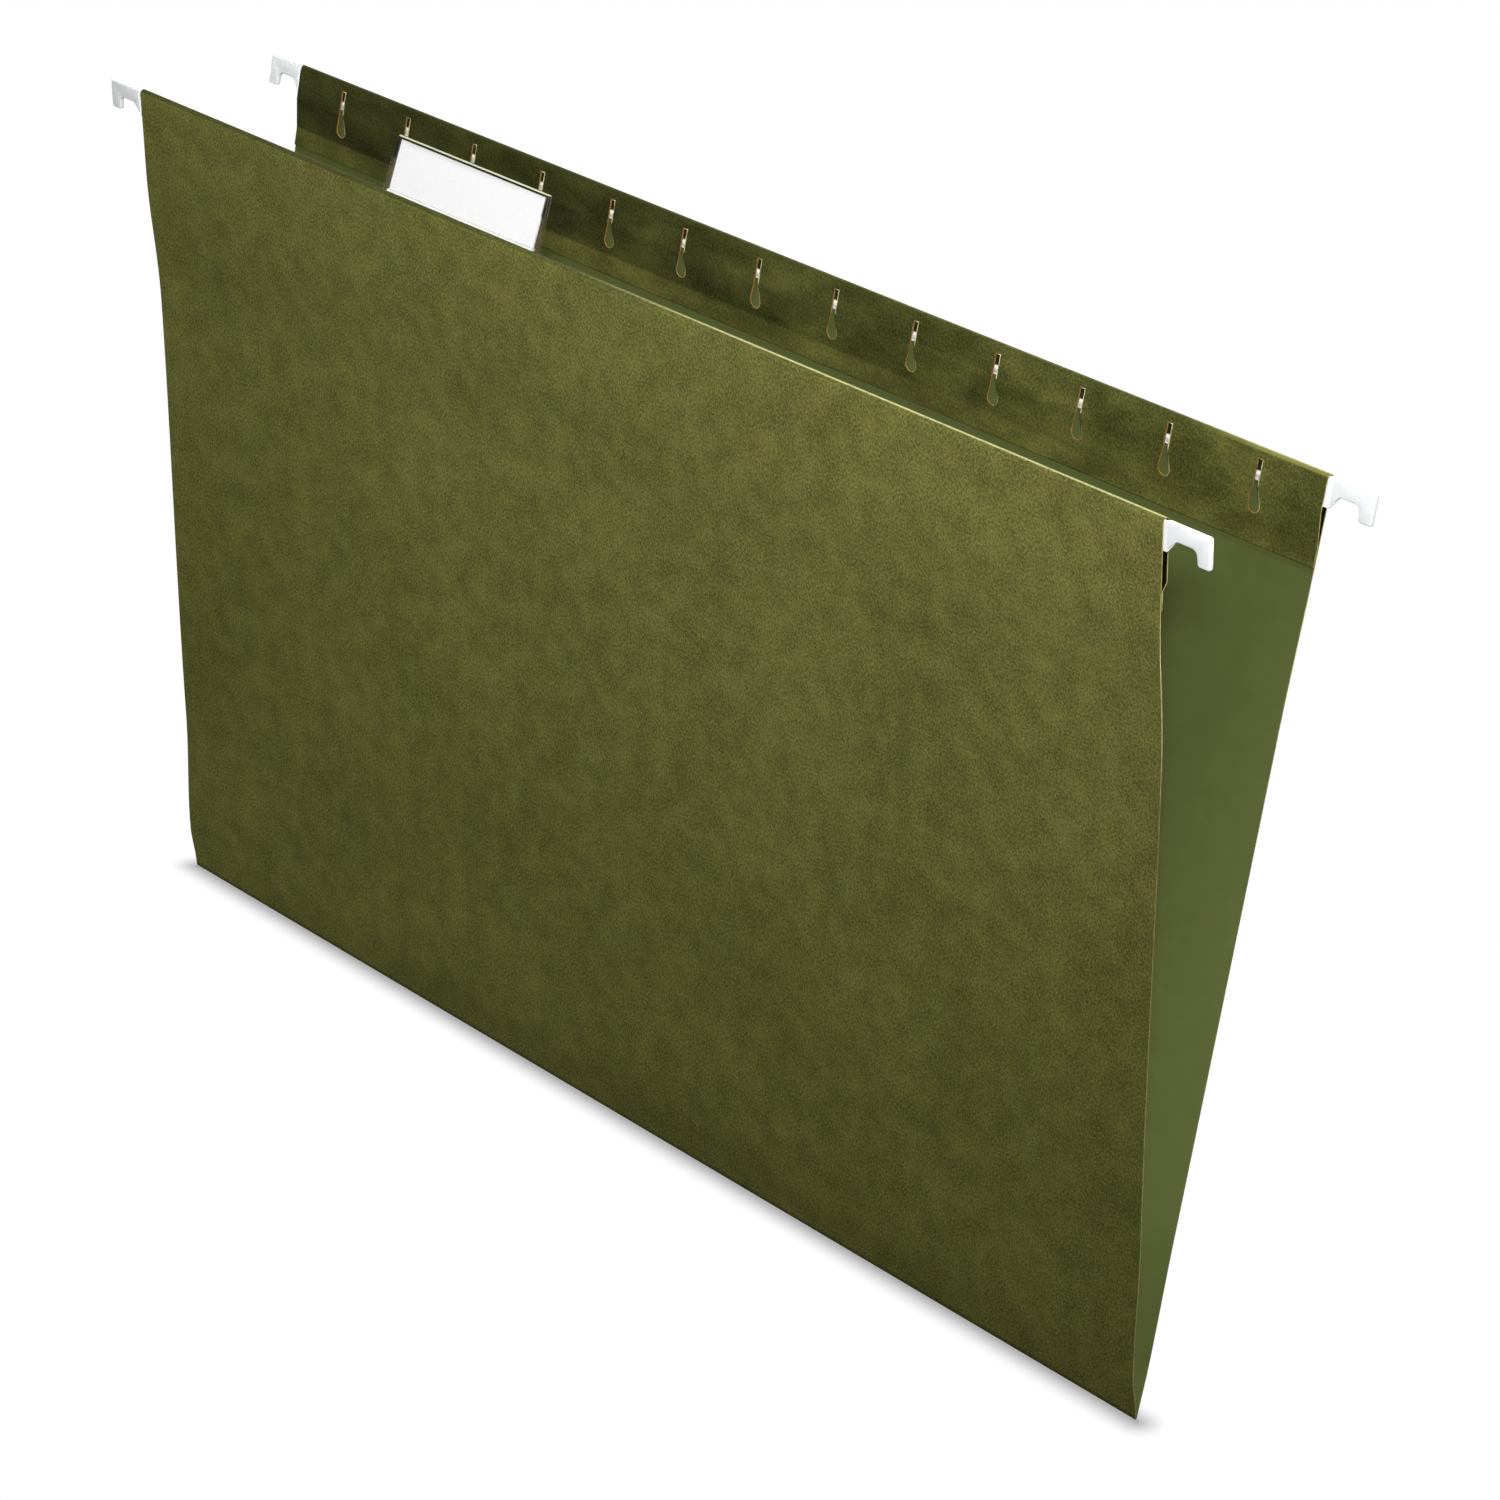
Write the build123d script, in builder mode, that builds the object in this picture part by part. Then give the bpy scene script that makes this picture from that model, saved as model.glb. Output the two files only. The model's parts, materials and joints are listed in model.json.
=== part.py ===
# Hanging file folder: a creased card sheet with two hemmed panels, steel hanger rods
# with coated hook ends, and a clear label tab with a paper insert.
# Millimetres, +Z up. The origin is midway between the four hook notches, at rail height.

import os
from math import atan2, cos, radians, sin, sqrt, tan

from build123d import *

# Card sheet
panel_width = 374.65
panel_height = 234.95
card = 0.28
rest_opening_angle = 13.5
crease_radius = 0.5
hinge_clearance = 0.05

# Hem folded over each rod
pocket_gap = 1.5
flap_height = 22.2
glue_band_height = 4.8
glue_thickness = 0.12
glue_end_margin = 3.0
glue_foot_margin = 0.4
hem_bend_height = 1.6

# Slots along each hem flap
slot_count = 13
slot_end_margin = 19.685
slot_drop = 2.7
slot_length = 12.5
slit_width = 1.4
slot_eye_radius = 1.75
slit_length = 5.6

# Hanger rods
rod_thickness = 0.6
rod_height = 7.2
rod_top_clearance = 0.3
rod_back_clearance = 0.25
rib_width = 2.4
rib_rise = 0.45
rib_centre_drop = 5.5
rib_end_margin = 7.0

# Hook at each rod end, measured outward from the panel edge
hook_reach = 13.5
hook_shoulder = 1.0
hook_chamfer_run = 3.0
hook_neck_height = 3.5
hook_tip_width = 3.0
hook_tip_lean = 0.5
hook_inner_radius = 1.4
hook_corner_radius = 0.5
coat = 0.3
coat_start = 1.2

# Label tab
plastic = 0.35
tab_slot_step_count = 2
tab_foot_gap = 0.2
tab_foot_drop = 14.2
tab_hinge_drop = 0.6
tab_knuckle_radius = 0.3
tab_lean_angle = 22.0
ear_bridge_width = 1.1
ear_height = 3.7
ear_length = 3.0
ear_gap = 0.1
sleeve_height = 14.4
sleeve_gap = 0.42
sleeve_lip = 0.3
sleeve_side_margin = 2.76
sleeve_flare = 1.4
insert_thickness = 0.24
insert_side_margin = 1.0
insert_height = 13.1

# Extra length that carries each cut right through
overrun = 2.0

# Heights up each panel, measured from the crease
half_angle = radians(rest_opening_angle / 2)
fold_radius = pocket_gap / 2
fold_start = panel_height - card - fold_radius
flap_foot = panel_height - flap_height
bend_foot = flap_foot + glue_band_height
bend_top = bend_foot + hem_bend_height
rod_top = panel_height - card - rod_top_clearance
rod_middle_depth = rod_back_clearance + rod_thickness / 2
notch_ceiling = rod_top - hook_neck_height - coat
hang_height = notch_ceiling * cos(half_angle) + rod_middle_depth * sin(half_angle)

# Widths along each panel
slot_pitch = (panel_width - 2 * slot_end_margin) / (slot_count - 1)
sleeve_bottom_width = 2 * (slot_pitch + sleeve_side_margin)
sleeve_top_width = sleeve_bottom_width - 2 * sleeve_flare
insert_width = sleeve_top_width - 2 * insert_side_margin

# Each panel has a face plane (along, up, inward) and a section plane (up, inward, along)
crease_point = (0, 0, -hang_height)
back_face = Plane(crease_point, x_dir=(1, 0, 0), z_dir=(0, -cos(half_angle), sin(half_angle)))
front_face = Plane(crease_point, x_dir=(-1, 0, 0), z_dir=(0, cos(half_angle), sin(half_angle)))


def section_of(face):
    return Plane(face.origin, x_dir=face.y_dir, z_dir=face.x_dir)


def keep(builder, name):
    builder.part.label = name
    export_step(builder.part, "parts/" + name + ".step")


# The lower edge of a panel is hollowed to sit round the crease
def make_panel(name, face, clearance):
    with BuildPart() as panel:
        with BuildSketch(section_of(face)):
            with Locations((0, -card)):
                Rectangle(fold_start, card, align=(Align.MIN, Align.MIN))
            Circle(crease_radius + clearance, mode=Mode.SUBTRACT)
        extrude(amount=panel_width / 2, both=True)
    keep(panel, name)


# One keyhole slot, drawn with its upper end at the sketch origin
def draw_slot():
    eye_centre = slot_eye_radius - slot_length
    with BuildSketch(mode=Mode.PRIVATE) as slot:
        with Locations((0, -slit_length)):
            Circle(slit_width / 2)
        with Locations((0, eye_centre)):
            Circle(slot_eye_radius)
        make_hull()
        with Locations((0, -slit_length / 2)):
            Rectangle(slit_width, slit_length)
    return slot.sketch


# The hem runs over the top fold, down past the rod, and in to the glue line
def make_hem(name, face):
    bend_angle = atan2(pocket_gap - glue_thickness, hem_bend_height)
    bend_shift = card * tan(bend_angle / 2)
    outer_radius = fold_radius + card
    with BuildPart() as hem:
        with BuildSketch(section_of(face)):
            with BuildLine():
                ThreePointArc(
                    (fold_start, -card),
                    (fold_start + outer_radius, fold_radius),
                    (fold_start, pocket_gap + card),
                )
                Polyline(
                    (fold_start, pocket_gap + card),
                    (bend_top - bend_shift, pocket_gap + card),
                    (bend_foot - bend_shift, glue_thickness + card),
                    (flap_foot, glue_thickness + card),
                    (flap_foot, glue_thickness),
                    (bend_foot, glue_thickness),
                    (bend_top, pocket_gap),
                    (fold_start, pocket_gap),
                )
                ThreePointArc(
                    (fold_start, pocket_gap),
                    (fold_start + fold_radius, fold_radius),
                    (fold_start, 0),
                )
                Line((fold_start, 0), (fold_start, -card))
            make_face()
        extrude(amount=panel_width / 2, both=True)
        with BuildSketch(face.offset(pocket_gap)):
            with Locations((0, panel_height - slot_drop)):
                with GridLocations(slot_pitch, slot_pitch, slot_count, 1):
                    add(draw_slot())
        extrude(amount=fold_radius, both=True, mode=Mode.SUBTRACT)
    keep(hem, name)


# The line of adhesive that holds the foot of the flap to the panel
def make_glue(name, face):
    glue_width = panel_width - 2 * glue_end_margin
    with BuildPart() as glue:
        with BuildSketch(face):
            with Locations((0, flap_foot + glue_foot_margin)):
                glue_height = glue_band_height - 2 * glue_foot_margin
                Rectangle(glue_width, glue_height, align=(Align.CENTER, Align.MIN))
        extrude(amount=glue_thickness)
    keep(glue, name)


# The strip outline of one rod with a hook at each end, drawn in the panel's face
def draw_rod():
    edge = panel_width / 2
    rod_foot = rod_top - rod_height
    neck_foot = rod_top - hook_neck_height
    tip_side = edge + hook_reach - hook_tip_width
    with BuildSketch(mode=Mode.PRIVATE) as hook:
        with BuildLine():
            Polyline(
                (0, rod_top),
                (edge + hook_reach, rod_top),
                (edge + hook_reach, rod_foot),
                (tip_side, rod_foot),
                (tip_side - hook_tip_lean, neck_foot),
                (edge + hook_shoulder + hook_chamfer_run, neck_foot),
                (edge + hook_shoulder, rod_foot),
                (0, rod_foot),
                close=True,
            )
        make_face()
        by_reach = hook.vertices().group_by(Axis.X)
        fillet(by_reach[-1], hook_corner_radius)
        neck_corner = hook.vertices().sort_by_distance((tip_side - hook_tip_lean, neck_foot))[0]
        fillet(neck_corner, hook_inner_radius)
        mirror(about=Plane.YZ)
    return hook.sketch


# A pressed rib stiffens the strip between its hooks
def make_rod(name, face):
    rib_length = panel_width - 2 * rib_end_margin
    rib_centre = rod_top - rib_centre_drop
    rib_radius = (rib_width**2 / 4 + rib_rise**2) / (2 * rib_rise)
    rod_front = rod_back_clearance + rod_thickness
    rib_axis = rod_front + rib_rise - rib_radius
    groove_radius = rib_radius - rod_thickness
    groove_half = sqrt(groove_radius**2 - (rod_back_clearance - rib_axis) ** 2)
    with BuildPart() as rod:
        with BuildSketch(face.offset(rod_back_clearance)):
            add(draw_rod())
        extrude(amount=rod_thickness)
        with BuildSketch(section_of(face)):
            with BuildLine():
                ThreePointArc(
                    (rib_centre - rib_width / 2, rod_front),
                    (rib_centre, rod_front + rib_rise),
                    (rib_centre + rib_width / 2, rod_front),
                )
                Line((rib_centre + rib_width / 2, rod_front), (rib_centre - rib_width / 2, rod_front))
            make_face()
        extrude(amount=rib_length / 2, both=True)
        with BuildSketch(section_of(face)):
            with BuildLine():
                ThreePointArc(
                    (rib_centre - groove_half, rod_back_clearance),
                    (rib_centre, rod_back_clearance + rib_rise),
                    (rib_centre + groove_half, rod_back_clearance),
                )
                Line(
                    (rib_centre + groove_half, rod_back_clearance),
                    (rib_centre - groove_half, rod_back_clearance),
                )
            make_face()
        extrude(amount=rib_length / 2, both=True, mode=Mode.SUBTRACT)
    keep(rod, name)
    return rod.part


# The coating follows the steel hook outline and closes over its faces
def make_tip(name, face, rod, side):
    reach_from_coat = hook_reach - coat_start + overrun
    window_middle = panel_width / 2 + coat_start + reach_from_coat / 2
    with BuildPart() as tip:
        with BuildSketch(face.offset(rod_back_clearance - coat)):
            add(draw_rod())
            offset(amount=coat)
            with Locations((side * window_middle, rod_top - rod_height / 2)):
                Rectangle(reach_from_coat, rod_height + 2 * overrun, mode=Mode.INTERSECT)
        extrude(amount=rod_thickness + 2 * coat)
        add(rod, mode=Mode.SUBTRACT)
    keep(tip, name)


# Label tab, laid out from the front panel: the foot lies on the flap and its ears pass
# through two slots, below the rod
tab_middle = tab_slot_step_count * slot_pitch
foot_depth = pocket_gap + card + tab_foot_gap
knuckle_depth = foot_depth + plastic / 2
knuckle_height = panel_height - tab_hinge_drop
foot_bottom = panel_height - tab_foot_drop


def make_tab_foot(name, face):
    ear_depth = pocket_gap - ear_gap - plastic
    with BuildPart() as foot:
        with BuildSketch(face.offset(foot_depth)):
            with Locations((tab_middle, foot_bottom)):
                foot_width = 2 * slot_pitch + ear_bridge_width
                Rectangle(foot_width, knuckle_height - foot_bottom, align=(Align.CENTER, Align.MIN))
        extrude(amount=plastic)
        with BuildSketch(face.offset(ear_depth)):
            for side in (-1, 1):
                with Locations((tab_middle + side * slot_pitch, foot_bottom + ear_height / 2)):
                    Rectangle(ear_bridge_width, ear_height)
        extrude(amount=foot_depth - ear_depth)
        with BuildSketch(face.offset(ear_depth)):
            for side in (-1, 1):
                ear_middle = slot_pitch + (ear_length - ear_bridge_width) / 2
                with Locations((tab_middle + side * ear_middle, foot_bottom + ear_height / 2)):
                    Rectangle(ear_length, ear_height)
        extrude(amount=plastic)
        with BuildSketch(section_of(face)):
            with Locations((knuckle_height, knuckle_depth)):
                Circle(tab_knuckle_radius + hinge_clearance)
        extrude(amount=panel_width / 2, both=True, mode=Mode.SUBTRACT)
    keep(foot, name)


# The sleeve stands on its own plane, leaned in from the front panel
def tab_plane(face):
    lean = radians(tab_lean_angle)
    hinge_point = face.from_local_coords((tab_middle, knuckle_height, knuckle_depth))
    normal = face.z_dir * cos(lean) - face.y_dir * sin(lean)
    return Plane(hinge_point, x_dir=face.x_dir, z_dir=normal)


def make_tab_sleeve(name, plane):
    fold_middle = (plastic + sleeve_gap) / 2
    fold_outer = fold_middle + plastic / 2
    fold_inner = sleeve_gap / 2
    straight_top = sleeve_height - fold_outer
    back_leaf = fold_middle + fold_outer
    with BuildPart() as sleeve:
        with BuildSketch(section_of(plane)):
            Circle(tab_knuckle_radius)
            with Locations((0, -plastic / 2)):
                Rectangle(straight_top, back_leaf + plastic / 2, align=(Align.MIN, Align.MIN))
            with Locations((straight_top, fold_middle)):
                Circle(fold_outer)
                Circle(fold_inner, mode=Mode.SUBTRACT)
            with Locations((sleeve_lip, plastic / 2)):
                cavity_height = straight_top - sleeve_lip
                Rectangle(cavity_height, sleeve_gap, align=(Align.MIN, Align.MIN), mode=Mode.SUBTRACT)
        extrude(amount=sleeve_bottom_width / 2, both=True)
        with BuildSketch(plane):
            with BuildLine():
                Polyline(
                    (-sleeve_bottom_width / 2, -tab_knuckle_radius),
                    (sleeve_bottom_width / 2, -tab_knuckle_radius),
                    (sleeve_top_width / 2, sleeve_height),
                    (-sleeve_top_width / 2, sleeve_height),
                    close=True,
                )
            make_face()
        extrude(amount=2 * back_leaf, both=True, mode=Mode.INTERSECT)
    keep(sleeve, name)


# The insert stands on the sleeve's lip, midway between the two leaves
def make_tab_insert(name, plane):
    insert_play = (sleeve_gap - insert_thickness) / 2
    with BuildPart() as insert:
        with BuildSketch(plane.offset(plastic / 2 + insert_play)):
            with Locations((0, sleeve_lip + insert_play)):
                Rectangle(insert_width, insert_height, align=(Align.CENTER, Align.MIN))
        extrude(amount=insert_thickness)
    keep(insert, name)


os.makedirs("parts", exist_ok=True)

with BuildPart() as crease:
    with BuildSketch(section_of(back_face)):
        Circle(crease_radius)
    extrude(amount=panel_width / 2, both=True)
keep(crease, "bottom_crease")

make_panel("back_panel", back_face, 0)
make_panel("front_panel", front_face, hinge_clearance)

for side_name, face in (("back", back_face), ("front", front_face)):
    make_hem(side_name + "_hem", face)
    make_glue(side_name + "_glue_line", face)
    rod = make_rod(side_name + "_hanger_rod", face)
    for side in (-1, 1):
        end_name = "right" if side * face.x_dir.X > 0 else "left"
        make_tip(side_name + "_" + end_name + "_hook_coat", face, rod, side)

make_tab_foot("tab_foot", front_face)
make_tab_sleeve("tab_sleeve", tab_plane(front_face))
make_tab_insert("tab_insert", tab_plane(front_face))
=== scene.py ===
# %% [markdown]
# Dressing a hanging file folder in Blender.
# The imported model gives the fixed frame: two hemmed panels, a bottom crease, two steel rods with
# coated hooks, and a clear label tab. This script adds what the eye needs: one continuous sheet of
# mottled pressed card with punched slots, soft-edged hook coats, clear plastic, and a plain white studio.

# %% load the frame
import json
from math import cos, radians, sin

import bmesh
import bpy
from mathutils import Matrix, Vector, noise


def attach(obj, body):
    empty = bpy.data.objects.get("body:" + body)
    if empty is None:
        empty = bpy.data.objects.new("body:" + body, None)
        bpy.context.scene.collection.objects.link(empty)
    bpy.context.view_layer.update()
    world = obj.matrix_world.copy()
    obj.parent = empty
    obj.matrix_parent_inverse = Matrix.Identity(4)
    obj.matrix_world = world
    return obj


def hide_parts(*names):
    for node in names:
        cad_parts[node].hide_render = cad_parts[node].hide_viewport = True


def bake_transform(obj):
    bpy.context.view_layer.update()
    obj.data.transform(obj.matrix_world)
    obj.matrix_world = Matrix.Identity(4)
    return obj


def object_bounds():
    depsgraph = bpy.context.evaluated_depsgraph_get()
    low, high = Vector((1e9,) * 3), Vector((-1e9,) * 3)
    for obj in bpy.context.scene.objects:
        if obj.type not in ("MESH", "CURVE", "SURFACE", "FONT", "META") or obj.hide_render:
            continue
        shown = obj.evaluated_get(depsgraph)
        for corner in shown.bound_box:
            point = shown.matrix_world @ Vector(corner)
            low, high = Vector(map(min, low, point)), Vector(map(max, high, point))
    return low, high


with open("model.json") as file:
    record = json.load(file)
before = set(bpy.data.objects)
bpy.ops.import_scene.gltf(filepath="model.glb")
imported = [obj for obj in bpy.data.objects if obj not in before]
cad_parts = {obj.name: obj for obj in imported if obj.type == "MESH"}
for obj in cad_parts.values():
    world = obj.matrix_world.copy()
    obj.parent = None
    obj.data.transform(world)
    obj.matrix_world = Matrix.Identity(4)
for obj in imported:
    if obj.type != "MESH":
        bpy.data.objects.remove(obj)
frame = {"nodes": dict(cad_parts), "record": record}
cad_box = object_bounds()

# %% [markdown]
# Every size below repeats the construction drawing, in millimetres. The scene works in metres, so one
# factor turns drawing sizes into scene sizes. The fold joint tells where the crease lies, and from it
# each side gets its own frame: along the rod, up the panel, and inward to the papers.

# %% drawing sizes and side frames
mm = 0.001
panel_width, panel_height, card = 374.65, 234.95, 0.28
pocket_gap, flap_height, glue_band, glue_line, bend_height = 1.5, 22.2, 4.8, 0.12, 1.6
half_angle = radians(6.75)
joints = {joint["name"]: joint for joint in frame["record"]["behaviour"]["joints"]}
crease = Vector(joints["bottom_fold"]["pos_m"])


def side_frame(side):
    """Columns are along the rod, up the panel and inward; side is 1 for the back and -1 for the front."""
    along = Vector((side, 0, 0))
    up = Vector((0, side * sin(half_angle), cos(half_angle)))
    inward = Vector((0, -side * cos(half_angle), sin(half_angle)))
    turn = Matrix((along, up, inward)).transposed().to_4x4()
    return (Matrix.Translation(crease) @ turn @ Matrix.Scale(mm, 4)).freeze()


back, front = side_frame(1), side_frame(-1)
print("top of the back panel:", [round(v, 4) for v in back @ Vector((0, panel_height, 0))])

# %% [markdown]
# Finishes come first, so that each piece can be given its look as soon as it is made. Materials could be
# built node by node, but the same few moves come back in all of them. A small class starts a material and
# knows those moves: a layer of noise, a sum, a soft step, a row of shades, a mix and a bump.

# %% material helpers


def srgb(red, green, blue):
    """A colour picked on screen, 0 to 255, as the linear numbers that shaders use."""
    steps = [value / 255 for value in (red, green, blue)]
    return [v / 12.92 if v <= 0.04045 else ((v + 0.055) / 1.055) ** 2.4 for v in steps] + [1.0]


class Finish:
    """A material under construction: its node tree, its main shader and a few short-hand makers."""

    def __init__(self, name):
        self.material = bpy.data.materials.new(name)
        self.material.use_nodes = True
        self.nodes = self.material.node_tree.nodes
        self.links = self.material.node_tree.links
        self.shader = self.nodes["Principled BSDF"]

    def add(self, kind, **settings):
        node = self.nodes.new(kind)
        for key, value in settings.items():
            setattr(node, key, value)
        return node

    def join(self, source, target):
        self.links.new(source, target)

    def supply(self, value, socket):
        """Sets a socket to a number or colour, or joins it to another node."""
        if isinstance(value, (int, float, list)):
            socket.default_value = value
        else:
            self.join(value, socket)

    def feed(self, name, source):
        """Joins a layer to a socket of the main shader."""
        self.join(source, self.shader.inputs[name])

    def fix(self, name, value):
        """Sets a socket of the main shader to one value all over."""
        self.shader.inputs[name].default_value = value

    def coordinates(self, kind="Object"):
        return self.add("ShaderNodeTexCoord").outputs[kind]

    def axes(self, vector):
        """The X, Y and Z of a coordinate."""
        node = self.add("ShaderNodeSeparateXYZ")
        self.join(vector, node.inputs["Vector"])
        return node.outputs

    def noise(self, vector, scale, detail=4.0, roughness=0.55, stretch=(1, 1, 1), turn=0.0):
        mapping = self.add("ShaderNodeMapping")
        mapping.inputs["Scale"].default_value = stretch
        mapping.inputs["Rotation"].default_value = (0, 0, turn)
        self.join(vector, mapping.inputs["Vector"])
        cloud = self.add("ShaderNodeTexNoise")
        cloud.inputs["Scale"].default_value = scale
        cloud.inputs["Detail"].default_value = detail
        cloud.inputs["Roughness"].default_value = roughness
        self.join(mapping.outputs["Vector"], cloud.inputs["Vector"])
        return cloud.outputs["Fac"]

    def math(self, operation, first, *others):
        """Works through the values from left to right; ABSOLUTE and SQRT take only one."""
        result = first
        for other in others or (None,):
            node = self.add("ShaderNodeMath", operation=operation)
            self.supply(result, node.inputs[0])
            if other is not None:
                self.supply(other, node.inputs[1])
            result = node.outputs[0]
        return result

    def span(self, value, low, high, to_low=0.0, to_high=1.0):
        """A soft step: to_low where the value is low, to_high where it is high."""
        node = self.add("ShaderNodeMapRange", interpolation_type="SMOOTHSTEP")
        self.join(value, node.inputs["Value"])
        ends = ("From Min", "From Max", "To Min", "To Max")
        for name, number in zip(ends, (low, high, to_low, to_high)):
            node.inputs[name].default_value = number
        return node.outputs["Result"]

    def shades(self, value, *colours, low=0.3, high=0.7):
        """Screen colours evenly spaced over the range that a layer of noise really covers."""
        node = self.add("ShaderNodeValToRGB")
        elements = node.color_ramp.elements
        while len(elements) < len(colours):
            elements.new(0.5)
        for step, (element, colour) in enumerate(zip(elements, colours)):
            element.position = low + (high - low) * step / (len(colours) - 1)
            element.color = srgb(*colour)
        self.join(value, node.inputs["Fac"])
        return node.outputs["Color"]

    def mix(self, share, first, second, blend="MIX"):
        node = self.add("ShaderNodeMix", data_type="RGBA", blend_type=blend)
        for value, socket in ((share, 0), (first, 6), (second, 7)):
            self.supply(value, node.inputs[socket])
        return node.outputs[2]

    def layer(self, share, below, above):
        """One shader over another."""
        node = self.add("ShaderNodeMixShader")
        self.join(share, node.inputs["Fac"])
        self.join(below, node.inputs[1])
        self.join(above, node.inputs[2])
        return node.outputs["Shader"]

    def show(self, shader):
        """Makes this shader the surface, where the main shader isn't the whole of it."""
        self.join(shader, self.nodes["Material Output"].inputs["Surface"])

    def bump(self, height, strength, distance):
        node = self.add("ShaderNodeBump")
        node.inputs["Strength"].default_value = strength
        node.inputs["Distance"].default_value = distance
        self.join(height, node.inputs["Height"])
        self.feed("Normal", node.outputs["Normal"])


print("colour check:", [round(v, 3) for v in srgb(86, 88, 46)])

# %% [markdown]
# The outside of the card is pressed board: olive green with clouds, finer mottling and a fibre grain.
# A picture texture could show it, but noise layers stay sharp at any distance. They read the sheet's
# own map, whose numbers are metres along the rod and up the flat sheet, so that nothing stretches. A sum
# of noises keeps near its middle, so its shades are set close together there.

# %% outside of the card
outside = Finish("pressed_card_outside")
sheet_map = outside.coordinates("UV")
clouds = outside.noise(sheet_map, scale=22, detail=4, roughness=0.55)
smudges = outside.noise(sheet_map, scale=130, detail=6, roughness=0.62)
fibres = outside.noise(sheet_map, scale=1700, detail=3, roughness=0.6, stretch=(1, 0.9, 1), turn=0.7)
hues = outside.noise(sheet_map, scale=34, detail=6, roughness=0.65, stretch=(1.3, 0.8, 1), turn=1.9)
cloud_share, smudge_share, fibre_share = 0.12, 0.23, 0.65
tone = outside.math(
    "ADD",
    outside.math("MULTIPLY", clouds, cloud_share),
    outside.math("MULTIPLY", smudges, smudge_share),
    outside.math("MULTIPLY", fibres, fibre_share),
)
close = {"low": 0.40, "high": 0.60}
green = outside.shades(tone, (70, 74, 37), (96, 99, 50), (119, 122, 64), **close)
brown = outside.shades(tone, (72, 72, 36), (99, 97, 49), (122, 119, 63), **close)
panel_colour = outside.mix(outside.span(hues, 0.3, 0.7, 0.1, 0.9), green, brown)
print("panel layers:", len(outside.nodes))

# %% [markdown]
# The flaps are darker than the panels, and a painted shade darkens them further towards the left end. The
# glued foot of each flap keeps a more even tone of its own and stays mostly out of that painted shade. Two
# materials could do this, but soft steps on the flat layout leave the sheet in one piece, as it really is.

# %% flaps
flat = outside.axes(sheet_map)
height_up = outside.math("ABSOLUTE", flat["Y"])
on_flap = outside.span(height_up, (panel_height - 0.2) * mm, (panel_height + 0.4) * mm)
stains = outside.noise(sheet_map, scale=45, detail=5, roughness=0.6, stretch=(0.7, 1.8, 1))
stain_share, tone_share = 0.4, 0.6
pressed = outside.math(
    "ADD",
    outside.math("MULTIPLY", stains, stain_share),
    outside.math("MULTIPLY", tone, tone_share),
)
flap_colour = outside.shades(pressed, (43, 44, 19), (69, 71, 33), (95, 96, 47), **close)
# Painted shade: the flaps darken towards the left end.
shade_to_left = outside.span(flat["X"], 200 * mm, -120 * mm)
painted_left_shade = [0.40, 0.41, 0.44, 1.0]
flap_colour = outside.mix(shade_to_left, flap_colour, painted_left_shade, blend="MULTIPLY")
foot_run = panel_height + flap_height - glue_band
# The glued foot stays mostly out of the painted shade.
glued = outside.span(height_up, (foot_run - 0.6) * mm, (foot_run + 0.2) * mm, 0.0, 0.75)
foot_colour = outside.shades(pressed, (46, 46, 20), (66, 67, 31), (90, 89, 42), **close)
flap_colour = outside.mix(glued, flap_colour, foot_colour)
colour = outside.mix(on_flap, panel_colour, flap_colour)
print("layers with the flaps:", len(outside.nodes))

# %% [markdown]
# Folds wear, and they get painted light and shade. A painted shade darkens both top folds, most of all at
# the left, and a painted dark line marks the crease. Towards the right a thin pale line, partly rubbed wear
# and partly a painted highlight, runs along the front fold and a short end of the back fold, and a painted
# highlight makes the back fold paler beside it too. Each mark is a soft step away from its fold.

# %% folds: wear, painted shade and painted highlights
fold_shade_colour, crease_shade_colour = srgb(36, 38, 17), srgb(36, 38, 18)
back_fold_highlight_colour, wear_and_highlight_colour = srgb(120, 120, 64), srgb(156, 152, 104)
from_fold = outside.math("ABSOLUTE", outside.math("SUBTRACT", height_up, panel_height * mm))
on_fold = outside.span(from_fold, 0.9 * mm, 0.4 * mm)
# Painted shade on both top folds, darkest at the left.
fold_shade = outside.math("MULTIPLY", on_fold, outside.span(flat["X"], 50 * mm, -80 * mm, 0.45, 0.75))
colour = outside.mix(fold_shade, colour, fold_shade_colour)
# Painted shade: a dark line along the crease.
crease_shade = outside.span(height_up, 1.1 * mm, 0.4 * mm, 0.0, 0.45)
colour = outside.mix(crease_shade, colour, crease_shade_colour)
on_front = outside.span(flat["Y"], -1 * mm, 1 * mm)
front_part = outside.math("MULTIPLY", on_front, outside.span(flat["X"], -20 * mm, 60 * mm))
back_part = outside.math("SUBTRACT", outside.span(flat["X"], 140 * mm, 175 * mm), on_front)
# Painted highlight beside the right end of the back fold.
back_fold_highlight = outside.math("MULTIPLY", back_part, outside.span(from_fold, 1.0 * mm, 0.5 * mm, 0.0, 0.6))
colour = outside.mix(outside.math("MAXIMUM", back_fold_highlight, 0.0), colour, back_fold_highlight_colour)
# A thin pale line on the folds, partly rubbed wear and partly a painted highlight.
wear_and_highlight = outside.math(
    "MULTIPLY",
    outside.math("MAXIMUM", front_part, back_part),
    outside.span(from_fold, 0.09 * mm, 0.03 * mm),
    outside.span(fibres, 0.25, 0.55, 0.5, 1.0),
)
colour = outside.mix(wear_and_highlight, colour, wear_and_highlight_colour)
print("layers with the worn folds:", len(outside.nodes))
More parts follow.
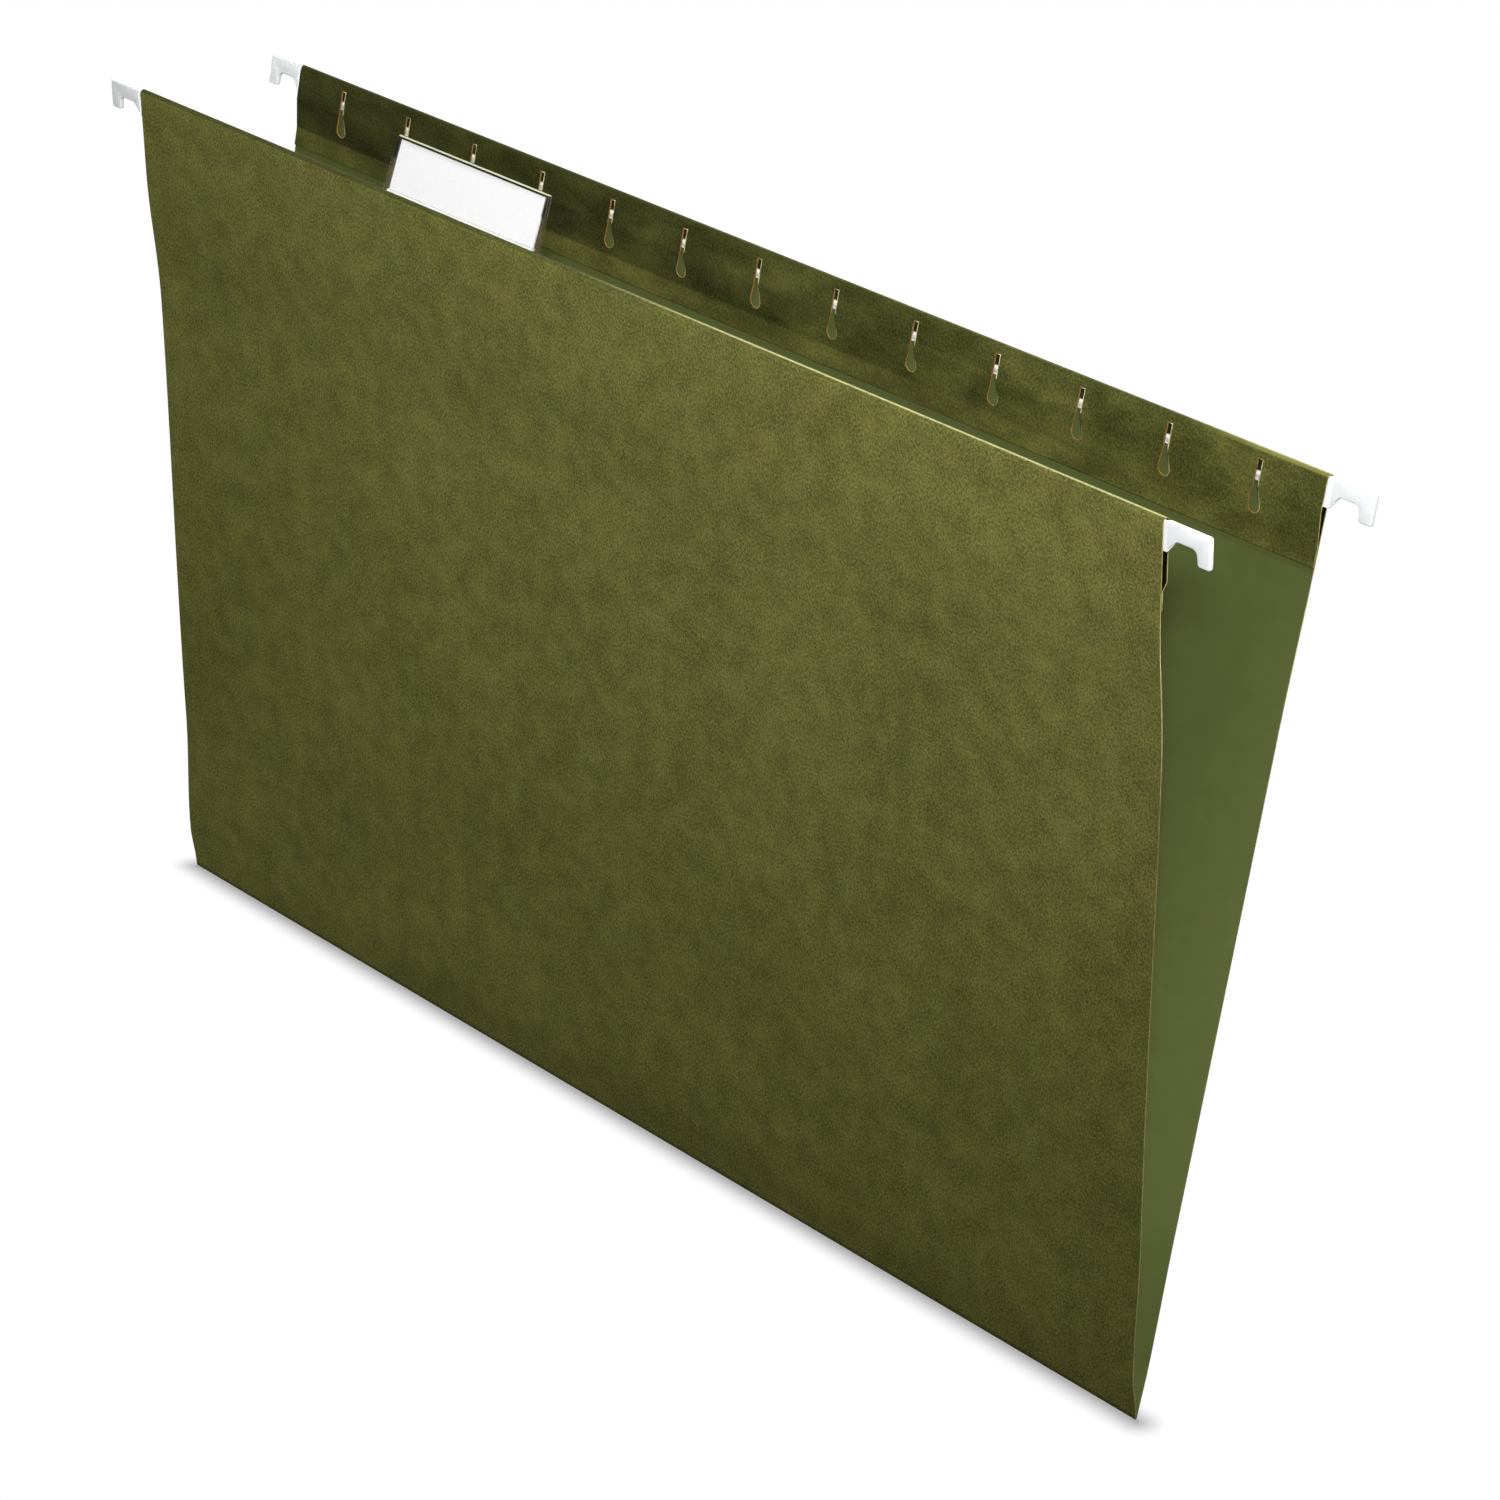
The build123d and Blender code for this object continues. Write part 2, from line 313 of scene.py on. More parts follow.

# %% [markdown]
# One faint pale line runs almost level over the right half of the front panel, and the smudges break it up.
# The sheen comes last. Pressed board is matt, and all gloss would mirror the white studio and grey the
# colour, so nearly none is left. The fibres and smudges also raise the surface a little.

# %% pale line and surface
pale_line_height, pale_line_slope = 150.64 * mm, 0.0337
climb = outside.math("MULTIPLY", flat["X"], pale_line_slope)
beside = outside.math("SUBTRACT", flat["Y"], climb, pale_line_height)
pale_line = outside.math(
    "MULTIPLY",
    outside.span(outside.math("ABSOLUTE", beside), 0.18 * mm, 0.06 * mm),
    outside.span(flat["X"], 4 * mm, 20 * mm),
    outside.span(flat["X"], 140 * mm, 120 * mm),
    outside.span(smudges, 0.45, 0.58, 0.0, 0.35),
)
colour = outside.mix(pale_line, colour, srgb(150, 147, 88))
card_gloss = 0.02
outside.feed("Base Color", colour)
outside.feed("Roughness", outside.span(smudges, 0.3, 0.7, 0.66, 0.80))
outside.fix("Specular IOR Level", card_gloss)
outside.bump(outside.math("ADD", fibres, smudges), strength=0.12, distance=0.1 * mm)
print("all layers of the outside:", len(outside.nodes))

# %% [markdown]
# The inside face is smoother, greener and plainer. Little light gets into the open ends of the hems, so the
# card is painted dark there; the flat layout tells where that is.

# %% inside of the card
inside = Finish("smooth_card_inside")
inside_map = inside.coordinates("UV")
inside_tone = inside.noise(inside_map, scale=160, detail=5, roughness=0.6)
inside_colour = inside.shades(inside_tone, (69, 76, 40), (74, 81, 43))
spread = inside.axes(inside_map)
in_hem = inside.span(inside.math("ABSOLUTE", spread["Y"]), 213 * mm, 214 * mm)
at_end = inside.span(inside.math("ABSOLUTE", spread["X"]), 178 * mm, 185 * mm)
inside_colour = inside.mix(inside.math("MULTIPLY", in_hem, at_end), inside_colour, srgb(14, 15, 8))
inside.feed("Base Color", inside_colour)
inside.fix("Roughness", 0.8)
inside.fix("Specular IOR Level", card_gloss)
inside.bump(inside.noise(inside_map, scale=1500, detail=2), strength=0.06, distance=0.05 * mm)
print("layers of the inside:", len(inside.nodes))

# %% [markdown]
# The cut edges show the core of the board: pale near the top of the side edges, a dull olive further down,
# and brown where the slots were punched.

# %% edges of the card
edge = Finish("raw_card_edge")
edge_tone = edge.noise(edge.coordinates(), scale=900, detail=3, roughness=0.6)
pale_edge = edge.shades(edge_tone, (120, 112, 62), (178, 170, 112))
brown_edge = edge.shades(edge_tone, (104, 76, 30), (150, 108, 48))
dull_edge = edge.shades(edge_tone, (60, 57, 29), (84, 80, 44))
edge_place = edge.axes(edge.coordinates())
lower_edge = edge.span(edge_place["Z"], -30 * mm, -80 * mm)
side_edge = edge.mix(lower_edge, pale_edge, dull_edge)
punched = edge.span(edge.math("ABSOLUTE", edge_place["X"]), 184 * mm, 180 * mm)
edge.feed("Base Color", edge.mix(punched, side_edge, brown_edge))
edge.fix("Roughness", 0.85)
edge.fix("Specular IOR Level", 0.2)
print("card finishes:", outside.material.name, inside.material.name, edge.material.name)

# %% [markdown]
# The folder is one sheet. Its section is a chain of straight runs: up the front flap, over the rod, down
# the panel, round the crease and the same again behind. The chain is drawn once with a few points,
# pulled along the rod into faces, and its fold lines are rounded by a bevel. The front flap stays off its
# panel down to the tab's ears; the back flap has no ears to clear, so it slopes down below its rod.

# %% the chain of runs
bend_foot = panel_height - flap_height + glue_band
back_slope_drop = 9
bend_top = {front: bend_foot + bend_height, back: panel_height - back_slope_drop}
panel_mid, flap_mid, foot_mid = -card / 2, pocket_gap + card / 2, glue_line + card / 2
fold_top = panel_height - card / 2
apex = Vector((0, 0, -card / 2 / sin(half_angle) * mm)) + crease


def section_points(place):
    """The corners of the card's middle line on one side, from the top fold to the flap's foot."""
    runs = (
        (fold_top, panel_mid),
        (fold_top, flap_mid),
        (bend_top[place] - card / 4, flap_mid),
        (bend_foot - card / 4, foot_mid),
        (panel_height - flap_height, foot_mid),
    )
    return [place @ Vector((0, up, depth)) for up, depth in runs]


def points_of(geometry):
    """The points in the mixed list that an extrusion gives back."""
    return [item for item in geometry if isinstance(item, bmesh.types.BMVert)]


sheet_bm = bmesh.new()
chain = [*reversed(section_points(front)), apex, *section_points(back)]
start = Vector((-panel_width / 2 * mm, 0, 0))
points = [sheet_bm.verts.new(point + start) for point in chain]
links = [sheet_bm.edges.new(pair) for pair in zip(points, points[1:])]
pulled = points_of(bmesh.ops.extrude_edge_only(sheet_bm, edges=links)["geom"])
bmesh.ops.translate(sheet_bm, verts=pulled, vec=Vector((panel_width * mm, 0, 0)))
print("runs in the chain:", len(links), "faces:", len(sheet_bm.faces))

# %% [markdown]
# Each fold line is an edge along the rod between two runs. The hem folds get a wide round, because the
# card goes over the rod; the glue bends and the crease get tight ones.

# %% round the folds
hem_round = (pocket_gap + card) / 2 * 0.97
bend_round, crease_round = 0.45, 1.5
same_place = 1e-6


def folds_at(bm, places):
    """The edges along the rod that lie at one of these places in the section."""
    found = []
    for line in bm.edges:
        a, b = (v.co for v in line.verts)
        near = any(abs(a.y - p.y) + abs(a.z - p.z) < same_place for p in places)
        if near and abs(a.x - b.x) > same_place:
            found.append(line)
    return found


def round_folds(bm, places, reach, segments):
    bmesh.ops.bevel(
        bm, geom=folds_at(bm, places), offset=reach * mm, segments=segments, profile=0.5,
        affect="EDGES", material=-1, clamp_overlap=True,
    )


both = [section_points(front), section_points(back)]
round_folds(sheet_bm, [p for corners in both for p in corners[0:2]], hem_round, segments=6)
round_folds(sheet_bm, [p for corners in both for p in corners[2:4]], bend_round, segments=3)
round_folds(sheet_bm, [apex], crease_round, segments=6)
print("faces with rounded folds:", len(sheet_bm.faces))

# %% [markdown]
# Card is never quite flat, but so far each panel is one face with nothing to bend. Cuts along the rod and
# up the panels give it points to move.

# %% cut the panels
cuts_along, cuts_up, long_run = 47, 63, 100 * mm
long_edges = [e for e in sheet_bm.edges if abs(e.verts[0].co.x - e.verts[1].co.x) > long_run]
bmesh.ops.subdivide_edges(sheet_bm, edges=long_edges, cuts=cuts_along, use_grid_fill=True)
tall_edges = [e for e in sheet_bm.edges if abs(e.verts[0].co.z - e.verts[1].co.z) > long_run]
bmesh.ops.subdivide_edges(sheet_bm, edges=tall_edges, cuts=cuts_up, use_grid_fill=True)
print("points in the cut sheet:", len(sheet_bm.verts))

# %% [markdown]
# Each point is pushed in or out a little, most on the front: in below the stiff hem, and out in a small
# belly above the crease. Slow noise adds the unevenness of a real sheet. The hems stay straight, because
# the rods hold them. A cloth simulation could bow the card too, but wouldn't follow the photograph.

# %% let the panels bow
hem_foot = 212
bow_foot, bow_top, bow_full = 50, 178, 175
belly_foot, belly_full, belly_end = 13, 14, 48
wave_foot, wave_top, wave_depth = 25, 185, 0.25
wave_along, wave_up = 90, 110
bow_and_belly = {front: (1.8, 1.3), back: (0.5, 0.4)}
wave_seed = {front: 3.7, back: 9.2}


def ease(value, low, high):
    share = min(max((value - low) / (high - low), 0), 1)
    return share * share * (3 - 2 * share)


def bow(up, inward_bow, belly):
    """How far a point at this height stands in from the flat panel, in millimetres."""
    under_hem = ease(up, hem_foot, bow_full) * ease(up, bow_foot, bow_top)
    near_crease = ease(up, 0, belly_foot) * ease(up, belly_end, belly_full)
    return inward_bow * under_hem - belly * near_crease


def local(point):
    """The side that a point belongs to, with its place there: along, up and inward in millimetres."""
    place = back if point.y > 0 else front
    return place, place.inverted() @ point


for vert in sheet_bm.verts:
    place, spot = local(vert.co)
    wave = noise.noise(Vector((spot.x / wave_along, spot.y / wave_up, wave_seed[place])))
    free = ease(spot.y, 0, wave_foot) * ease(spot.y, hem_foot, wave_top)
    spot.z += bow(spot.y, *bow_and_belly[place]) + wave_depth * wave * free
    vert.co = place @ spot
bmesh.ops.recalc_face_normals(sheet_bm, faces=sheet_bm.faces[:])
middle = crease.z + panel_height / 2 * mm
on_panel = min(sheet_bm.faces, key=lambda f: abs(f.calc_center_median().z - middle))
if on_panel.calc_center_median().y * on_panel.normal.y < 0:
    bmesh.ops.reverse_faces(sheet_bm, faces=sheet_bm.faces[:])
print("deepest bow, back and front:", bow_and_belly[back][0], bow_and_belly[front][0], "mm")

# %% [markdown]
# A Solidify modifier gives the card its thickness. It hands the far side and the rim to the next two
# material slots, which is what a card with two faces and a raw edge needs. The result is kept as the
# mesh, so that the slots can be cut through it.

# %% thickness


def add_piece(name, bm, *finishes):
    """Puts a finished bmesh into the scene as an object, with its finishes in its material slots."""
    mesh = bpy.data.meshes.new(name)
    bm.to_mesh(mesh)
    bm.free()
    for finish in finishes:
        mesh.materials.append(finish.material)
    piece = bpy.data.objects.new(name, mesh)
    bpy.context.collection.objects.link(piece)
    return piece


def keep_modifiers(piece):
    """Bakes a piece's modifiers into its mesh."""
    graph = bpy.context.evaluated_depsgraph_get()
    shaped = bpy.data.meshes.new_from_object(piece.evaluated_get(graph))
    piece.modifiers.clear()
    piece.data = shaped


sheet = add_piece("folder_sheet", sheet_bm, outside, inside, edge)
wall = sheet.modifiers.new("card", "SOLIDIFY")
wall.thickness = card * mm
wall.offset = 0
wall.use_even_offset = True
wall.material_offset = 1
wall.material_offset_rim = 2
keep_modifiers(sheet)
print("faces of the thick sheet:", len(sheet.data.polygons))

# %% [markdown]
# The label slots are keyholes: a straight slit that opens into a round eye. The face starts as a circle.
# Its top is deleted, and a few points carry the outline round the slit.

# %% a keyhole
slot_count, slot_pitch, slot_drop, slot_length = 13, 27.94, 2.7, 12.5
slit_half, slit_length, eye_radius, eye_open_above = 0.7, 5.6, 1.75, 0.2
slot_places = [(step - (slot_count - 1) / 2) * slot_pitch for step in range(slot_count)]


def keyhole(bm, along, depth, margin=0.0):
    """A flat keyhole face at this distance along the rod and this depth, grown by a margin all round."""
    top = panel_height - slot_drop
    eye_centre = top - slot_length + eye_radius
    ring = bmesh.ops.create_circle(bm, segments=32, radius=eye_radius + margin)["verts"]
    below = [v for v in ring if v.co.y < eye_open_above]
    bmesh.ops.delete(bm, geom=[v for v in ring if v.co.y >= eye_open_above], context="VERTS")
    bmesh.ops.translate(bm, verts=below, vec=Vector((along, eye_centre, depth)))
    left_to_right = sorted(below, key=lambda v: v.co.x)
    half, shoulder, crown = slit_half + margin, top - slit_length, top + margin
    corners = ((half, shoulder), (half, crown), (-half, crown), (-half, shoulder))
    shoulders = [bm.verts.new(Vector((along + x, y, depth))) for x, y in corners]
    path = [left_to_right[-1], *shoulders, left_to_right[0]]
    for pair in zip(path, path[1:]):
        bm.edges.new(pair)
    lines = list(dict.fromkeys(line for v in below + shoulders for line in v.link_edges))
    return bmesh.ops.contextual_create(bm, geom=below + shoulders + lines)["faces"][0]


print("slots from", slot_places[0], "to", slot_places[-1], "mm along the rod")

# %% [markdown]
# A keyhole face is pulled into a cutter and repeated along both hems, and one Boolean modifier takes all
# the cutters out of the card. The edge finish goes with them, so the punched edges are brown at once.

# %% cut the slots
cut_low, cut_high = 0.2, 2.2


def cut_through(bm, place, along):
    face = keyhole(bm, along, cut_low)
    lower = list(face.verts)
    raised = points_of(bmesh.ops.extrude_face_region(bm, geom=[face])["geom"])
    bmesh.ops.translate(bm, verts=raised, vec=Vector((0, 0, cut_high - cut_low)))
    bmesh.ops.transform(bm, matrix=place, verts=lower + raised)


cutter_bm = bmesh.new()
for place in (front, back):
    for along in slot_places:
        cut_through(cutter_bm, place, along)
bmesh.ops.recalc_face_normals(cutter_bm, faces=cutter_bm.faces[:])
cutter = add_piece("keyholes", cutter_bm, edge)
cut = sheet.modifiers.new("slots", "BOOLEAN")
cut.operation = "DIFFERENCE"
cut.solver = "EXACT"
cut.material_mode = "TRANSFER"
cut.object = cutter
keep_modifiers(sheet)
bpy.data.objects.remove(cutter)
print("faces with slots cut:", len(sheet.data.polygons))

# %% [markdown]
# The sheet's map is its flat layout: metres along the rod, and metres up the sheet from the crease, past
# the top fold and down the flap. The back half counts downwards, so the two halves don't repeat. The sheet
# crosses the fold joint.


def on_flap_side(spot):
    """True past the top of the fold; the hems aren't bowed, so the flap keeps a gap from its panel."""
    if spot.y > panel_height - card - pocket_gap / 2:
        return spot.z > pocket_gap / 2
    return spot.y > panel_height - flap_height - card and spot.z > glue_line / 2


layout = sheet.data.uv_layers.new(name="flat_layout")
for loop in sheet.data.loops:
    place, spot = local(sheet.data.vertices[loop.vertex_index].co)
    run = 2 * panel_height - spot.y if on_flap_side(spot) else spot.y
    across = spot.x if place is back else -spot.x
    layout.data[loop.index].uv = (across * mm, (-run if place is back else run) * mm)
sheet.data.shade_smooth()
sheet.data.set_sharp_from_angle(angle=radians(35))
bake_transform(sheet)
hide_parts("front_panel", "back_panel", "bottom_crease", "front_hem", "back_hem")
print("sheet:", len(sheet.data.vertices), "points")

# %% [markdown]
# The punch leaves a thin lip round each slot, where the core of the board shows: pale on the right rim and
# brown on the left and round the eye. One noise gives both shades, and a wrapped distance along the rod
# tells the two rims of every slot apart.

# %% finish of the lips
lip_finish = Finish("punched_lip")
lip_tone = lip_finish.noise(lip_finish.coordinates(), scale=700, detail=4, roughness=0.65)
pale_lip = lip_finish.shades(lip_tone, (108, 106, 56), (184, 178, 122), low=0.35, high=0.65)
brown_lip = lip_finish.shades(lip_tone, (72, 57, 25), (122, 92, 42), low=0.35, high=0.65)
lip_place = lip_finish.axes(lip_finish.coordinates())
in_slot = lip_finish.add("ShaderNodeMath", operation="WRAP")
lip_finish.join(lip_place["X"], in_slot.inputs[0])
in_slot.inputs[1].default_value = slot_pitch / 2 * mm
in_slot.inputs[2].default_value = -slot_pitch / 2 * mm
right_rim = lip_finish.math(
    "MULTIPLY",
    lip_finish.span(in_slot.outputs[0], -0.3 * mm, 0.6 * mm),
    lip_finish.span(lip_place["Z"], -6 * mm, -3 * mm, 0.35, 1.0),
)
lip_finish.feed("Base Color", lip_finish.mix(right_rim, brown_lip, pale_lip))
lip_finish.fix("Roughness", 0.8)
lip_finish.bump(lip_tone, strength=0.15, distance=0.05 * mm)
print("lip layers:", len(lip_finish.nodes))

# %% [markdown]
# A keyhole face one lip wider than the slot is inset back to the slot's own outline. The middle is
# dropped, and the ring that is left has its inner edge lifted and is thickened. Each lip then follows
# the slope of its flap.

# %% lips of the slots
lip_width, lip_rise, lip_thickness = 0.2, 0.06, 0.05


def flap_drop(place, up):
    """How far the flap has come down towards its panel at this height."""
    share = (bend_top[place] - up) / (bend_top[place] - bend_foot)
    return max(share, 0) * (pocket_gap - glue_line)


def add_lip(bm, place, along):
    before = set(bm.verts)
    face = keyhole(bm, along, pocket_gap + card, lip_width)
    ring = bmesh.ops.inset_region(
        bm, faces=[face], thickness=lip_width, use_even_offset=True, use_boundary=True,
    )["faces"]
    inner = list(face.verts)
    bmesh.ops.delete(bm, geom=[face], context="FACES_ONLY")
    bmesh.ops.translate(bm, verts=inner, vec=Vector((0, 0, lip_rise)))
    bmesh.ops.solidify(bm, geom=ring, thickness=lip_thickness)
    made = [v for v in bm.verts if v not in before]
    for vert in made:
        vert.co.z -= flap_drop(place, vert.co.y)
    bmesh.ops.transform(bm, matrix=place, verts=made)


lips_bm = bmesh.new()
for place in (front, back):
    for along in slot_places:
        add_lip(lips_bm, place, along)
bmesh.ops.recalc_face_normals(lips_bm, faces=lips_bm.faces[:])
lips = add_piece("slot_lips", lips_bm, lip_finish)
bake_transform(lips)
print("lips:", len(lips.data.polygons), "faces")

# %% [markdown]
# The rods are bright tinned steel. Their shape in the frame is right, so they keep it and get a finish:
# fine streaks along the strip, a painted shade above the rib and a painted highlight on it, and white
# towards the ends, where the dipped coat of the hooks thins out inside the hem.

# %% rods
steel = Finish("tinned_steel")
rod_map = steel.coordinates()
streaks = steel.noise(rod_map, scale=3000, detail=3, roughness=0.6, stretch=(0.03, 1, 1))
rod_place = steel.axes(rod_map)
dipped = steel.span(steel.math("ABSOLUTE", rod_place["X"]), 180 * mm, 184 * mm)
# Painted highlight on the rib and painted shade above it.
rib_highlight_colour = steel.shades(streaks, (226, 226, 222), (244, 244, 240))
rib_shade_colour = steel.shades(streaks, (26, 25, 22), (52, 50, 46))
ragged_height = steel.math("ADD", rod_place["Z"], steel.math("MULTIPLY", streaks, 0.4 * mm))
rib_shade_mask = steel.span(ragged_height, -1.0 * mm, -0.6 * mm)
rod_light_and_shade = steel.mix(rib_shade_mask, rib_highlight_colour, rib_shade_colour)
steel.feed("Base Color", steel.mix(dipped, rod_light_and_shade, srgb(228, 229, 229)))
steel.feed("Metallic", steel.span(dipped, 0.0, 1.0, 0.35, 0.0))
steel.feed("Roughness", steel.span(streaks, 0.3, 0.7, 0.26, 0.40))
steel.bump(streaks, strength=0.08, distance=0.02 * mm)


def dress(finish, *names):
    """Gives nodes of the frame a better material."""
    for name in names:
        for slot in frame["nodes"][name].material_slots:
            slot.link = "OBJECT"
            slot.material = finish.material


dress(steel, "front_hanger_rod", "back_hanger_rod")
print("steel layers:", len(steel.nodes))

# %% [markdown]
# The hook coats are white dipped plastic, painted a little darker on the back rod as shade. The coat has a
# soft skin, so its noise hardly shows in the colour and more in the roughness.

# %% finish of the hook coats
white = Finish("white_dipped_plastic")
white_tone = white.noise(white.coordinates(), scale=260, detail=4, roughness=0.6)
front_coat_colour = white.shades(white_tone, (220, 223, 223), (228, 231, 231))
# The back coats are painted darker, as shade.
back_coat_shade = white.shades(white_tone, (203, 207, 207), (211, 215, 215))
hook_place = white.axes(white.coordinates())
at_back = white.span(hook_place["Y"], -10 * mm, 10 * mm)
white.feed("Base Color", white.mix(at_back, front_coat_colour, back_coat_shade))
white.feed("Roughness", white.span(white_tone, 0.3, 0.7, 0.30, 0.42))
white.bump(white_tone, strength=0.05, distance=0.05 * mm)
print("coat layers:", len(white.nodes))

# %% [markdown]
# A dipped coat needs soft edges, which a sharp solid doesn't have. Each coat is an outline whose corners
# are bevelled, the one inside the hook more than the rest. The outline is pulled to its thickness, and
# its two rims are bevelled too.

# %% hook coats
rod_top = panel_height - card - 0.3
coat_low, coat_high = -0.05, 1.15
coat_start, notch_start, notch_end, tip_start, hook_end = 1.2, 3.86, 9.72, 10.2, 13.8
crown, notch_top, neck_foot, tip_foot = 0.3, -3.8, -6.45, -7.5
hook_corners = (
    (coat_start, crown),
    (hook_end, crown),
    (hook_end, tip_foot),
    (tip_start, tip_foot),
    (notch_end, notch_top),
    (notch_start, notch_top),
    (coat_start, neck_foot),
)
inner_corner, outer_corners = 4, (1, 2, 3, 5)
inner_round, outer_round, rim_round = 1.3, 0.6, 0.28


def soften(bm, geometry, reach, segments, affect):
    bmesh.ops.bevel(
        bm, geom=geometry, offset=reach, segments=segments, profile=0.5, affect=affect, material=-1,
    )


def hook_coat(name, place, body, end, node):
    bm = bmesh.new()
    edge_along = end * panel_width / 2
    outline = [bm.verts.new((edge_along + end * x, rod_top + y, coat_low)) for x, y in hook_corners]
    bm.faces.new(outline)
    bm.normal_update()
    outer = [outline[corner] for corner in outer_corners]
    soften(bm, [outline[inner_corner]], inner_round, segments=6, affect="VERTICES")
    soften(bm, outer, outer_round, segments=4, affect="VERTICES")
    raised = points_of(bmesh.ops.extrude_face_region(bm, geom=bm.faces[:])["geom"])
    bmesh.ops.translate(bm, verts=raised, vec=Vector((0, 0, coat_high - coat_low)))
    rims = [e for e in bm.edges if abs(e.verts[0].co.z - e.verts[1].co.z) < same_place]
    soften(bm, rims, rim_round, segments=3, affect="EDGES")
    bmesh.ops.transform(bm, matrix=place, verts=bm.verts[:])
    bmesh.ops.recalc_face_normals(bm, faces=bm.faces[:])
    piece = add_piece(name, bm, white)
    piece.data.shade_smooth()
    piece.data.set_sharp_from_angle(angle=radians(40))
    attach(piece, body)
    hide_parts(node)
    print(name, "faces:", len(piece.data.polygons))


for place, side, sign in ((front, "front", -1), (back, "back", 1)):
    for end in (-1, 1):
        hand = "right" if sign * end > 0 else "left"
        hook_coat(f"{side}_{hand}_hook", place, f"{side}_rod", end, f"{side}_{hand}_hook_coat")

# %% [markdown]
# The label tab is clear sheet plastic, folded over at its crest so that two leaves hold the paper. The
# sleeve stays as the frame has it, so its finish has to know where on the sleeve a point lies. A vector
# from the bend, and its length up the leaning sleeve, tell what is past the paper or on the crest.

# %% places on the sleeve
clear = Finish("clear_plastic")
bend_line = Vector(joints["tab_tilt"]["pos_m"])
tab_lean = radians(22) - half_angle
insert_half, insert_top = 28.3, 13.5
from_bend = clear.add("ShaderNodeVectorMath", operation="SUBTRACT")
from_bend.inputs[1].default_value = bend_line
clear.join(clear.coordinates(), from_bend.inputs[0])
lengthwise = clear.add("ShaderNodeVectorMath", operation="DOT_PRODUCT")
lengthwise.inputs[1].default_value = (0, sin(tab_lean), cos(tab_lean))
clear.join(from_bend.outputs["Vector"], lengthwise.inputs[0])
up_sleeve = lengthwise.outputs["Value"]
sideways = clear.math("ABSOLUTE", clear.axes(from_bend.outputs["Vector"])["X"])
past_side = clear.span(sideways, insert_half * mm, (insert_half + 0.3) * mm)
past_top = clear.span(up_sleeve, (insert_top - 0.1) * mm, (insert_top + 0.2) * mm)
past_paper = clear.math("MAXIMUM", past_side, past_top)
low_side = clear.math("MULTIPLY", past_side, clear.span(up_sleeve, 9.2 * mm, 7.8 * mm))
print("bend of the tab:", [round(v, 4) for v in bend_line])

# %% [markdown]
# The plastic is painted white at the bend, with a painted highlight on the crest and a faint one on the cut
# ends. The margin beside the paper is tinted dark near the top as painted shade, and has a faint brown haze
# lower down.

# %% painted white and highlights on the plastic
faces = clear.add("ShaderNodeNewGeometry")
facing = clear.axes(faces.outputs["True Normal"])
# Painted highlights on the cut ends and the crest; the bend is painted white.
cut_end_glint = clear.span(clear.math("ABSOLUTE", facing["X"]), 0.5, 0.8, 0.0, 0.12)
crest_highlight = clear.span(up_sleeve, 13.95 * mm, 14.15 * mm, 0.0, 0.6)
bend = clear.span(clear.math("ABSOLUTE", up_sleeve), 0.7 * mm, 0.45 * mm, 0.0, 0.9)
bend = clear.math("MULTIPLY", bend, clear.span(past_side, 0.0, 1.0, 1.0, 0.0))
margin_haze = clear.math("MULTIPLY", low_side, 0.05)
white_and_highlights = clear.math("MAXIMUM", cut_end_glint, crest_highlight, bend, margin_haze)
painted_layer = clear.add("ShaderNodeBsdfDiffuse")
painted_layer_colour = clear.mix(bend, srgb(196, 200, 168), srgb(198, 198, 199))
clear.join(clear.mix(low_side, painted_layer_colour, srgb(112, 101, 70)), painted_layer.inputs["Color"])
print("plastic layers so far:", len(clear.nodes))

# %% [markdown]
# Glass shaders bend light and make noise in thin sheets. Here light goes straight through instead, with a
# tint, and a gloss that grows at a glancing angle lies on top. Only faces that look outwards shine, because
# the back of a leaf would mirror the inside of the plastic.

# %% clear plastic
# The dark tint beside the paper, above all near the top, is painted shade.
paper_tint, shade_tint, low_tint = [0.985, 0.985, 0.98, 1], [0.42, 0.44, 0.36, 1], [0.98, 0.96, 0.95, 1]
see_through = clear.add("ShaderNodeBsdfTransparent")
margin_tint = clear.mix(low_side, shade_tint, low_tint)
clear.join(clear.mix(past_paper, paper_tint, margin_tint), see_through.inputs["Color"])
gloss = clear.add("ShaderNodeBsdfGlossy")
gloss.inputs["Color"].default_value = (1, 1, 1, 1)
haze = clear.noise(clear.coordinates(), scale=300, detail=3, roughness=0.5)
clear.join(clear.span(haze, 0.3, 0.7, 0.05, 0.16), gloss.inputs["Roughness"])
rim = clear.add("ShaderNodeFresnel")
rim.inputs["IOR"].default_value = 1.5
outward = clear.math("SUBTRACT", 1.0, faces.outputs["Backfacing"])
less_past_paper = clear.span(past_paper, 0.0, 1.0, 1.0, 0.25)
shine = clear.math("MULTIPLY", rim.outputs["Fac"], outward, less_past_paper)
glossy = clear.layer(shine, see_through.outputs["BSDF"], gloss.outputs["BSDF"])
clear.show(clear.layer(white_and_highlights, glossy, painted_layer.outputs["BSDF"]))
clear.nodes.remove(clear.shader)
dress(clear, "tab_sleeve", "tab_foot")
print("plastic layers:", len(clear.nodes))

# %% [markdown]
# The insert is plain white paper with a fine grain. The dried glue under the flaps is out of sight, but it
# gets its own yellowish finish, because the pieces can be taken apart.

